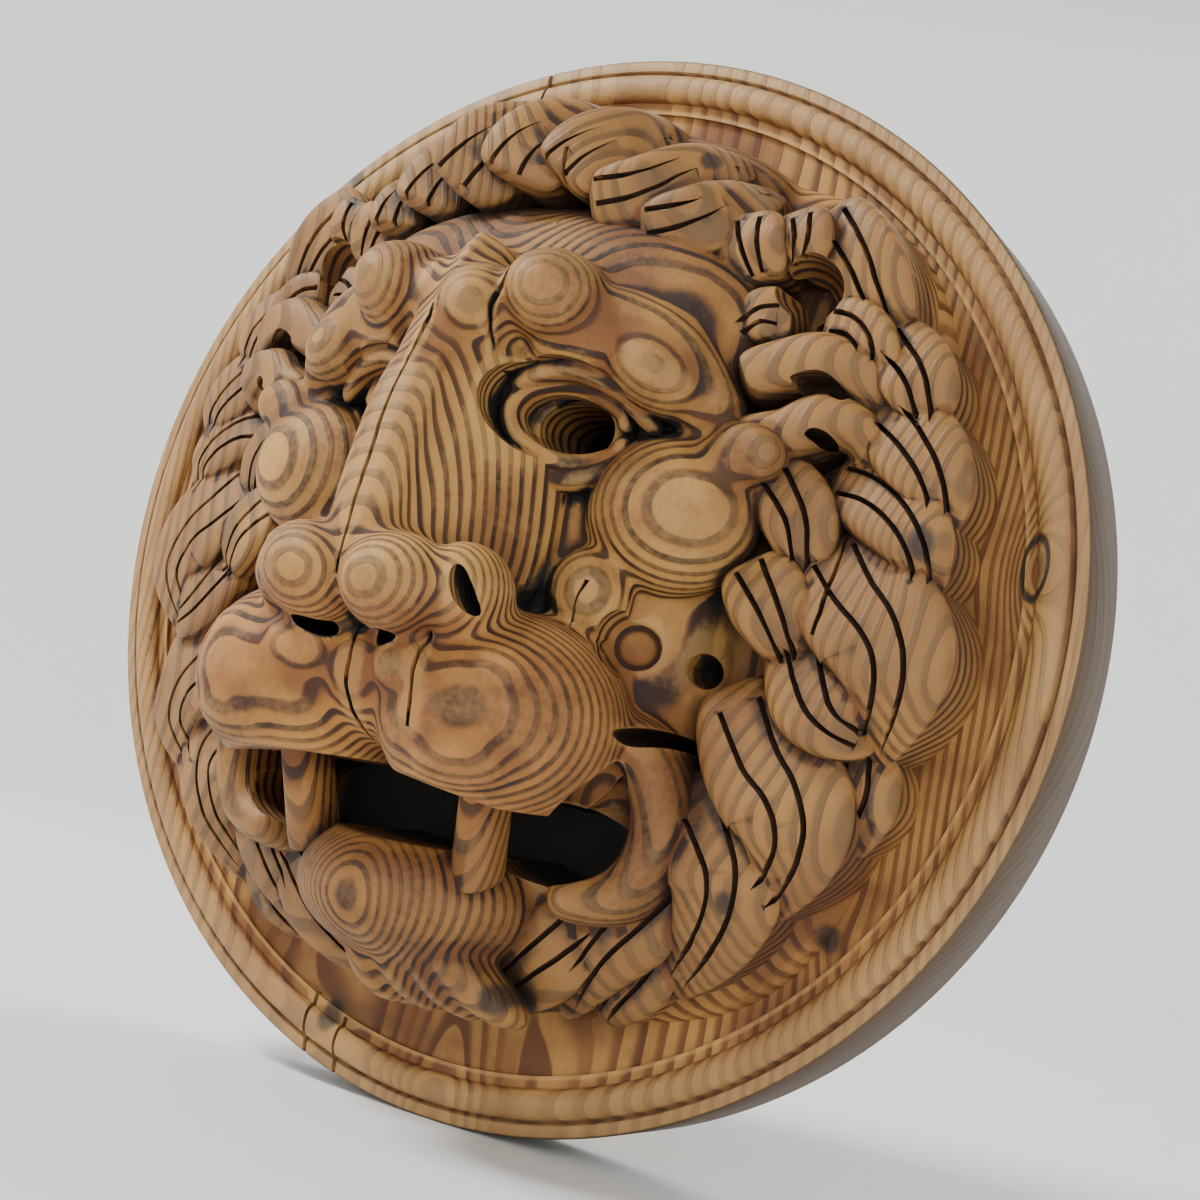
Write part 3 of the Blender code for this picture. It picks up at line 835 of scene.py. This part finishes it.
def old_pine():
    wood = Finish(pine)
    place_ = wood.add("ShaderNodeTexCoord", output=3)
    drift = wood.noise(wood.stretch(place_, (1.0, 1.0, 0.35)), 9.0, 2.0) - 0.5
    ripple = wood.noise(wood.stretch(place_, (1.0, 1.0, 0.5)), 55.0, 2.0) - 0.5
    split = wood.tree.nodes.new("ShaderNodeSeparateXYZ")
    wood.tree.links.new(place_.socket, split.inputs[0])
    x, y, z = (Value(wood, output) for output in split.outputs)
    across = x - RING_HEART_X
    behind = RING_HEART_Y - y
    radius = (across * across + behind * behind).math("SQRT") + drift * 0.012 + ripple * 0.0016
    core = 0.0
    for knot_x, knot_z, size in KNOTS:
        aside = (x - knot_x * CARVING_SIZE) / size
        along = (z - knot_z * CARVING_SIZE) / size
        apart = aside * aside + along * along * 0.55
        radius = radius + (apart * -0.22).math("EXPONENT") * (size * 0.8)
        core = (1 - wood.step(apart, 0.15, 0.80)) + core
    aside = (x - RIM_KNOT[0] * CARVING_SIZE) / RIM_KNOT[2]
    along = (z - RIM_KNOT[1] * CARVING_SIZE) / RIM_KNOT[3]
    apart = (aside * aside + along * along).math("SQRT")
    radius = radius + (apart * apart * -0.30).math("EXPONENT") * 0.012
    gap = 1 - wood.step((apart - 1.0).math("ABSOLUTE"), 0.06, 0.22)
    beside = x / NOSE_HALF_WIDTH
    radius = radius - z * (beside * beside * -1.0).math("EXPONENT") * NOSE_GRAIN_SLOPE
    rings = radius * RING_LINEAR + radius * radius * RING_SQUARE
    share = rings.math("FRACT")
    number = rings.math("FLOOR")
    luck = wood.add("ShaderNodeTexWhiteNoise", {"noise_dimensions": "1D"}, {"W": number})
    late = wood.step(share, 0.30, 0.82) * (1 - wood.step(share, 0.94, 1.0))
    line = wood.step(share, 0.50, 0.70) * (1 - wood.step(share, 0.92, 1.0))

    fibre = wood.noise(wood.stretch(place_, GRAIN_STRETCH), 900.0, 3.0)
    blotch = wood.noise(place_, 28.0, 3.0)
    fine = wood.noise(place_, 420.0, 3.0)
    hollow = wood.attribute("hollow")
    crease = wood.attribute("crease")
    ridge = wood.attribute("ridge")
    radial = (x * x + z * z).math("SQRT")
    out = wood.step(y * -1.0, FIELD_DEPTH + 0.002, FIELD_DEPTH + 0.016)

    tan = wood.blend(wood.step(blotch, 0.35, 0.65), (0.220, 0.086, 0.018, 1), (0.500, 0.260, 0.064, 1))
    tan = wood.blend(fibre * 0.40, tan, (0.140, 0.052, 0.012, 1))
    rust = wood.blend(luck, (0.170, 0.044, 0.006, 1), (0.095, 0.023, 0.003, 1))
    colour = wood.blend(late * (luck * 0.35 + 0.55), tan, rust)
    colour = wood.blend(line * (out * 0.68 + 0.18) * (luck * 0.25 + 0.75), colour, (0.008, 0.002, 0.001, 1))
    worn = wood.step(ridge + (fine - 0.5) * 0.5, 0.10, 0.60)
    colour = wood.blend(worn * 0.35, colour, (0.640, 0.370, 0.110, 1))
    # Painted shade: the whole mane is darkened, standing for the shade among its locks and for its denser dark ring
    # lines.
    mane = wood.step(radial, 0.078, 0.120) * out
    colour = wood.blend(mane * 0.80, colour, (0.52, 0.43, 0.34, 1), "MULTIPLY")
    # Painted shade: the creases, where little light reaches, are darkened towards near black by the crease attribute.
    crease_shade = wood.step(crease + (fine - 0.5) * 0.18, 0.06, 0.45)
    colour = wood.blend(crease_shade * (out * 0.60 + 0.30), colour, (0.030, 0.011, 0.004, 1))
    # Painted shade: the floors of the eye and mouth hollows, and the deepest hollows near the middle, are painted near
    # black.
    side = x.math("ABSOLUTE")
    from_eye = side - EYE_X
    over_eye = z - EYE_Z
    by_eye = 1 - wood.step((from_eye * from_eye + over_eye * over_eye).math("SQRT"), 0.016, 0.021)
    by_mouth = (1 - wood.step((z - MOUTH_Z).math("ABSOLUTE"), 0.020, 0.028)) * (1 - wood.step(side, 0.066, 0.080))
    deep = 1 - wood.step(y * -1.0, FIELD_DEPTH + 0.022, FIELD_DEPTH + 0.044)
    pit_shade = by_eye.math("MAXIMUM", by_mouth) * deep
    pit_shade = pit_shade.math("MAXIMUM", wood.step(hollow, 0.38, 0.54) * (1 - wood.step(radial, 0.085, 0.100)))
    low_face = (1 - wood.step(z, -0.034, -0.018)) * (1 - wood.step(radial, 0.105, 0.135)) * out
    colour = wood.blend(low_face * 0.80, colour, (0.84, 0.70, 0.56, 1), "MULTIPLY")
    colour = wood.blend(pit_shade, colour, (0.004, 0.003, 0.002, 1))
    colour = wood.blend(core.math("MINIMUM", 1.0) * 0.85, colour, (0.016, 0.009, 0.006, 1))
    colour = wood.blend(gap * 0.95, colour, (0.010, 0.006, 0.004, 1))

    edge = wood.step(radial, RIM_DIRT_START, RIM_DIRT_START + 0.012) * (1 - out)
    colour = wood.blend(edge * (blotch * 0.9) * 0.55, colour, (0.190, 0.145, 0.100, 1))
    # Painted shade: the disc's outer side wall is darkened.
    wall = wood.step(radial, DISC_RADIUS - 0.0009, DISC_RADIUS - 0.0003) * (1 - out)
    colour = wood.blend(wall * 0.86, colour, (0.036, 0.022, 0.012, 1))

    wood.put(wood.shader.inputs["Base Color"], colour)
    wood.put(wood.shader.inputs["Roughness"], 0.78 - worn * 0.14 - fibre * 0.08)
    height = line * 0.60 - late * 0.1 + fibre * 0.35 + fine * 0.25 - gap * 1.5
    bump = wood.add("ShaderNodeBump", {}, {"Strength": 0.55, "Distance": 0.0010, "Height": height})
    wood.put(wood.shader.inputs["Normal"], bump)


solid.materials.clear()
old_pine()
solid.materials.append(pine)
for face in solid.polygons:
    face.material_index = 0
solid.shade_smooth()
solid.set_sharp_from_angle(angle=math.radians(50))
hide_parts("lion_mask")
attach(mask, "root")


# ---------------------------------------------------------------------------------------------------------
# The studio: a pale floor under the rim that curves up into a wall all round, and large soft lamps.
# ---------------------------------------------------------------------------------------------------------

COVE_RADIUS = 2.6
COVE_BEND = 1.0
COVE_HEIGHT = 3.2
COVE_STEPS = 96
BEND_STEPS = 12


def cove():
    shape = bmesh.new()
    floor = low.z
    outline = [(0.0, floor), (COVE_RADIUS - COVE_BEND, floor)]
    for step in range(1, BEND_STEPS + 1):
        angle = math.pi / 2 * step / BEND_STEPS
        outline.append((COVE_RADIUS - COVE_BEND + COVE_BEND * math.sin(angle),
                        floor + COVE_BEND - COVE_BEND * math.cos(angle)))
    outline.append((COVE_RADIUS, floor + COVE_HEIGHT))
    chain = [shape.verts.new((radius, 0.0, height)) for radius, height in outline]
    edges = [shape.edges.new(pair) for pair in zip(chain, chain[1:])]
    bmesh.ops.spin(shape, geom=chain + edges, cent=(0, 0, 0), axis=(0, 0, 1), angle=math.tau,
                   steps=COVE_STEPS, use_merge=True)
    bmesh.ops.remove_doubles(shape, verts=shape.verts, dist=1e-5)
    bmesh.ops.recalc_face_normals(shape, faces=shape.faces)
    bmesh.ops.reverse_faces(shape, faces=shape.faces)
    item = hidden_object("cove", shape)
    item.data.shade_smooth()
    paper = bpy.data.materials.new("pale paper")
    paper.use_nodes = True
    shader = paper.node_tree.nodes["Principled BSDF"]
    shader.inputs["Base Color"].default_value = (0.87, 0.87, 0.86, 1)
    shader.inputs["Roughness"].default_value = 0.9
    item.data.materials.append(paper)


cove()


def soft_lamp(name, place_at, size, power):
    lamp = bpy.data.lights.new(name, "AREA")
    lamp.shape = "DISK"
    lamp.size = size
    lamp.energy = power
    item = bpy.data.objects.new(name, lamp)
    item.location = place_at
    item.rotation_euler = Vector(place_at).to_track_quat("Z", "Y").to_euler()
    bpy.context.collection.objects.link(item)


soft_lamp("key lamp", (-1.3, -1.0, 1.7), 0.6, 66)
soft_lamp("fill lamp", (1.2, -1.8, 0.5), 1.4, 14)
soft_lamp("back lamp", (0.0, 1.6, 2.2), 2.0, 34)
world = bpy.data.worlds.new("pale room")
bpy.context.scene.world = world
world.use_nodes = True
world.node_tree.nodes["Background"].inputs["Color"].default_value = (0.9, 0.92, 0.95, 1)
world.node_tree.nodes["Background"].inputs["Strength"].default_value = 0.18


# The camera, as fitted to the disc's rim and the face in the photograph: it stands a little below the
# middle and to the right, and is rolled so that the lion leans clockwise in the picture.

VIEW_AZIMUTH = math.radians(28.2)
VIEW_ELEVATION = math.radians(-12.4)
VIEW_ROLL = math.radians(-13.5)
VIEW_DISTANCE = 3.65 * DISC_RADIUS
PICTURE_SIZE = 1200
FOCAL_PIXELS = 1900
CENTRE_PIXEL = (593, 594)
SENSOR_WIDTH = 36.0


def unrolled(direction):
    """A direction given along the picture's right, up and towards the viewer, in the mask's own axes."""
    right, up, towards = direction
    cosine, sine = math.cos(-VIEW_ROLL), math.sin(-VIEW_ROLL)
    return Vector((cosine * right - sine * up, -towards, sine * right + cosine * up))


def photo_camera():
    towards = Vector((math.sin(VIEW_AZIMUTH) * math.cos(VIEW_ELEVATION), math.sin(VIEW_ELEVATION),
                      math.cos(VIEW_AZIMUTH) * math.cos(VIEW_ELEVATION)))
    right = Vector((0, 1, 0)).cross(towards).normalized()
    up = towards.cross(right)
    aim_right = (PICTURE_SIZE / 2 - CENTRE_PIXEL[0]) / FOCAL_PIXELS
    aim_up = (CENTRE_PIXEL[1] - PICTURE_SIZE / 2) / FOCAL_PIXELS
    axes = Matrix((unrolled(right), unrolled(up), unrolled(towards))).transposed()
    aim = Matrix.Rotation(math.atan(aim_up), 3, "X") @ Matrix.Rotation(-math.atan(aim_right), 3, "Y")
    lens = bpy.data.cameras.new("camera")
    lens.sensor_width = SENSOR_WIDTH
    lens.lens = FOCAL_PIXELS / PICTURE_SIZE * SENSOR_WIDTH
    item = bpy.data.objects.new("camera", lens)
    bpy.context.collection.objects.link(item)
    item.matrix_world = Matrix.Translation(unrolled(towards) * VIEW_DISTANCE) @ (axes @ aim).to_4x4()
    bpy.context.scene.camera = item


photo_camera()
